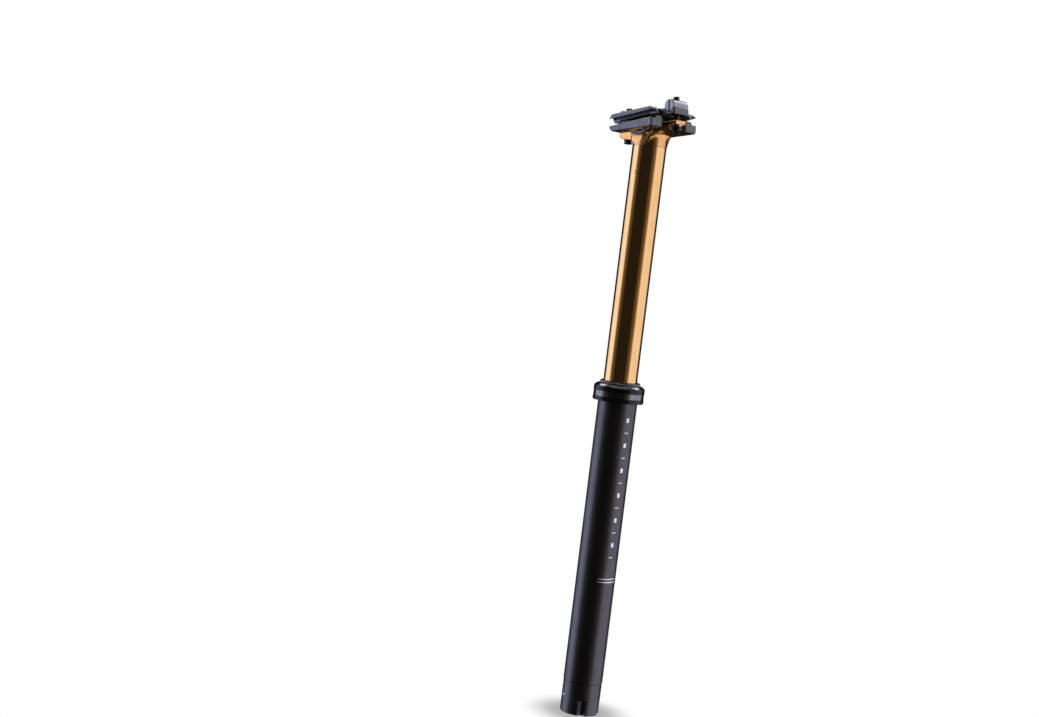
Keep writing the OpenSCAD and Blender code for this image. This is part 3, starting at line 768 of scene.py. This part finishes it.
def make_foot():
    """The foot, the lever on its pin, and the return spring, at one length though it shortens as the pin lifts."""
    r = outer_r + 0.2
    low, high = (-r, -r, foot_low.z - 0.3), (r, r, foot_high.z + 0.3)
    body = mesh_field("foot_milled", foot_field, low, high, step=0.34)
    fit(body, "lower_post", "tube_black", "foot_black", "actuator_body")
    low, high = (-2, -3.4, pivot_z - 4.2), (15, 3.4, pivot_z + 4.2)
    lever = mesh_field("lever_milled", lever_field, low, high, step=0.16)
    fit(lever, "lever", "lever_grey", "lever_grey", "actuator_lever")
    core_r, pin_r, pin_half = 0.001, 1.495, 13
    pin = [(core_r, -pin_half), (pin_r, -pin_half), (pin_r, pin_half), (core_r, pin_half)]
    pivot = lathe("lever_pin_ground", pin, 0.25, 48, "y", (arm, 0, pivot_z))
    fit(pivot, "lower_post", "polished", "steel_bright", "lever_pivot")
    coil_r, wire, turns, steps = 2.45, 0.3, 5.0, 32
    low, high = spring_low.z + wire, spring_high.z - wire
    path = []
    for i in range(int(turns * steps) + 1):
        t = i / (turns * steps)
        a = 2 * math.pi * turns * t
        # both end coils lie nearly flat
        eased = min(max((t - 0.12) / 0.76, 0), 1)
        rise = (high - low) * (0.06 * t + 0.94 * eased)
        path.append((coil_r * math.cos(a), coil_r * math.sin(a), low + rise))
    spring = sweep("return_spring_coil", path, wire, 12)
    fit(spring, "lower_post", "polished", "steel_bright", "return_spring")
    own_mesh(spring)


CAD_FINISH = {
    "polished": ["piston_rod", "valve_pin", "rod_nut"],
    "steel": ["cable_anchor"],
    "drawn": ["cartridge_tube", "cartridge_cap", "rod_gland", "floating_piston"],
    "bronze": ["main_piston"],
    "brass": ["guide_keys", "gas_valve"],
    "polymer": ["upper_bushing", "lower_bushing", "piston_band"],
    "rubber": ["collar_seal", "top_out_bumper", "rod_seal", "floating_seals"],
    "bolt_black": ["anchor_screw"],
}

make_outer_tube()
make_scale()
make_collar()
make_wiper()
make_gold_tube()
make_head()
make_bolts()
make_clamp()
make_nuts()
make_foot()
for finish, names in CAD_FINISH.items():
    for node_name in names:
        paint(nodes[node_name], finish)


# ---------------------------------------------------------------- camera, light and background

VIEW_SIDE = math.radians(45.9)
VIEW_DISTANCE, VIEW_HEIGHT = 1.227, 0.1014
AIM = Vector((0.052, 0.061, 0.024))
ROLL = math.radians(6.9)
LENS, SENSOR = 54.5, 36


def make_camera():
    data = bpy.data.cameras.new("camera")
    data.lens, data.sensor_width = LENS, SENSOR
    camera = bpy.data.objects.new("camera", data)
    bpy.context.scene.collection.objects.link(camera)
    back, out = VIEW_DISTANCE * math.cos(VIEW_SIDE), VIEW_DISTANCE * math.sin(VIEW_SIDE)
    camera.location = (-out, back, VIEW_HEIGHT)
    look = (AIM - camera.location).to_track_quat("-Z", "Y")
    camera.rotation_mode = "QUATERNION"
    camera.rotation_quaternion = look @ Quaternion((0, 0, 1), ROLL)
    bpy.context.scene.camera = camera


def empty_tree(owner):
    """The node tree of a new material or world, with nothing in it."""
    owner.use_nodes = True
    owner.node_tree.nodes.clear()
    return owner.node_tree


def faded(tree, value, reach):
    """1 in the middle of 0 to 1, easing to 0 at both ends over that share of each half."""
    away = tree.nodes.new("ShaderNodeMath")
    away.operation = "PINGPONG"
    away.inputs[1].default_value = 0.5
    link(tree, value, away.inputs[0])
    ramp = tree.nodes.new("ShaderNodeMapRange")
    ramp.interpolation_type = "SMOOTHSTEP"
    ramp.inputs["From Max"].default_value = reach / 2
    link(tree, away.outputs[0], ramp.inputs["Value"])
    return ramp.outputs["Result"]


def times(tree, value, factor):
    """A value times another, or times a number."""
    made = tree.nodes.new("ShaderNodeMath")
    made.operation = "MULTIPLY"
    link(tree, value, made.inputs[0])
    if isinstance(factor, bpy.types.NodeSocket):
        link(tree, factor, made.inputs[1])
    else:
        made.inputs[1].default_value = factor
    return made.outputs[0]


def panel_material(name, strength, colour, feather):
    """A glow that fades towards the panel's edges and lets what stands behind it shine through."""
    end_feather = 0.35
    made = bpy.data.materials.new(name)
    tree = empty_tree(made)
    chart, split = tree.nodes.new("ShaderNodeUVMap"), tree.nodes.new("ShaderNodeSeparateXYZ")
    link(tree, chart.outputs["UV"], split.inputs[0])
    wide, tall = faded(tree, split.outputs["X"], feather), faded(tree, split.outputs["Y"], end_feather)
    level = times(tree, wide, tall)
    glow, clear = tree.nodes.new("ShaderNodeEmission"), tree.nodes.new("ShaderNodeBsdfTransparent")
    glow.inputs["Color"].default_value = (*colour, 1)
    link(tree, times(tree, level, strength), glow.inputs["Strength"])
    total, out = tree.nodes.new("ShaderNodeAddShader"), tree.nodes.new("ShaderNodeOutputMaterial")
    link(tree, glow.outputs[0], total.inputs[0])
    link(tree, clear.outputs[0], total.inputs[1])
    link(tree, total.outputs[0], out.inputs["Surface"])
    return made


def softbox(name, turn, distance, height, wide, tall, strength, colour, feather, lean=0.0):
    """A soft panel beside the post, turned in degrees from the camera's side and unseen by the camera.

    feather is the share of its half width over which it fades, and lean tips it forward.
    """
    angle = VIEW_SIDE + math.radians(turn)
    sine, cosine = math.sin(angle), math.cos(angle)
    centre = Vector((-distance * sine, distance * cosine, height))
    across = Vector((cosine, sine, 0)) * wide / 2
    up = Vector((sine * math.sin(lean), -cosine * math.sin(lean), math.cos(lean))) * tall / 2
    corners = ((-1, -1), (1, -1), (1, 1), (-1, 1))
    panel = bpy.data.meshes.new(name)
    panel.from_pydata([centre + i * across + j * up for i, j in corners], [], [(0, 1, 2, 3)])
    chart = panel.uv_layers.new(name="panel")
    for loop, (i, j) in zip(chart.data, corners):
        loop.uv = ((i + 1) / 2, (j + 1) / 2)
    panel.materials.append(panel_material(name, strength, colour, feather))
    light = bpy.data.objects.new(name, panel)
    bpy.context.scene.collection.objects.link(light)
    light.visible_camera = False
    light.visible_shadow = False


def make_lights():
    """A tall softbox on each side, dimmer warm spill between them and the camera, and light from above."""
    side = dict(distance=1.3, height=0.2, tall=3.6)
    softbox("softbox_left", -101, wide=1.5, strength=1.34, colour=(0.94, 0.97, 1.28), feather=0.5, **side)
    softbox("softbox_right", 89, wide=2.4, strength=1.04, colour=(1.0, 0.99, 1.14), feather=0.46, **side)
    spill = dict(distance=1.5, height=0.2, tall=3.4, feather=0.9)
    softbox("spill_left", -66, wide=1.1, strength=0.12, colour=(1.0, 0.66, 0.36), **spill)
    softbox("spill_right", 50, wide=1.8, strength=0.17, colour=(1.0, 0.68, 0.36), **spill)
    high = dict(distance=1.3, height=1.45, wide=0.9, tall=1.0, strength=4.0, feather=0.5)
    softbox("high_left", -137, colour=(0.96, 0.98, 1.05), **high)
    softbox("high_right", 137, colour=(1.0, 0.99, 0.97), **high)
    softbox("overhead", 0, distance=0.0, height=1.6, wide=2.0, tall=2.0, strength=0.5,
            colour=(1.0, 1.0, 1.0), feather=0.6, lean=math.pi / 2)


def make_floor():
    """A pale floor under the foot, as bright as the background, with a soft shadow painted round the foot."""
    shadow, shadow_in, shadow_out = 0.42, 0.6, 3.4  # painted shadow: its level, and its edges in radii of the foot
    half, gap = 30, 0.0002
    made = bpy.data.materials.new("floor")
    tree = empty_tree(made)
    coords, far = tree.nodes.new("ShaderNodeTexCoord"), tree.nodes.new("ShaderNodeVectorMath")
    far.operation = "LENGTH"
    link(tree, coords.outputs["Object"], far.inputs[0])
    # the glow is dimmed near the foot: this shadow is painted, not cast
    shade = tree.nodes.new("ShaderNodeMapRange")
    shade.interpolation_type = "SMOOTHERSTEP"
    foot_r = outer_r * MM
    for key, number in (("From Min", shadow_in * foot_r), ("From Max", shadow_out * foot_r),
                        ("To Min", shadow), ("To Max", 1.0)):
        shade.inputs[key].default_value = number
    link(tree, far.outputs["Value"], shade.inputs["Value"])
    glow, out = tree.nodes.new("ShaderNodeEmission"), tree.nodes.new("ShaderNodeOutputMaterial")
    link(tree, shade.outputs["Result"], glow.inputs["Strength"])
    link(tree, glow.outputs[0], out.inputs["Surface"])
    mesh = bpy.data.meshes.new("floor")
    corners = [(-half, -half, 0), (half, -half, 0), (half, half, 0), (-half, half, 0)]
    mesh.from_pydata(corners, [], [(0, 1, 2, 3)])
    mesh.materials.append(made)
    floor = bpy.data.objects.new("floor", mesh)
    bpy.context.scene.collection.objects.link(floor)
    floor.location.z = foot_low.z * MM - gap
    floor.visible_glossy = floor.visible_diffuse = floor.visible_shadow = False


def make_world():
    """Pale to look at, and dim where it is reflected, so that the softboxes shape the metal."""
    world = bpy.data.worlds.new("studio")
    tree = empty_tree(world)
    path, pick = tree.nodes.new("ShaderNodeLightPath"), tree.nodes.new("ShaderNodeMixShader")
    link(tree, path.outputs["Is Camera Ray"], pick.inputs[0])
    reflected, seen = ((1.0, 0.86, 0.72, 1), 0.022), ((1, 1, 1, 1), 1.0)
    for into, (colour, strength) in zip((pick.inputs[1], pick.inputs[2]), (reflected, seen)):
        background = tree.nodes.new("ShaderNodeBackground")
        background.inputs["Color"].default_value = colour
        background.inputs["Strength"].default_value = strength
        link(tree, background.outputs[0], into)
    link(tree, pick.outputs[0], tree.nodes.new("ShaderNodeOutputWorld").inputs[0])
    bpy.context.scene.world = world


make_camera()
make_lights()
make_floor()
make_world()
bpy.context.scene.view_settings.view_transform = "Standard"
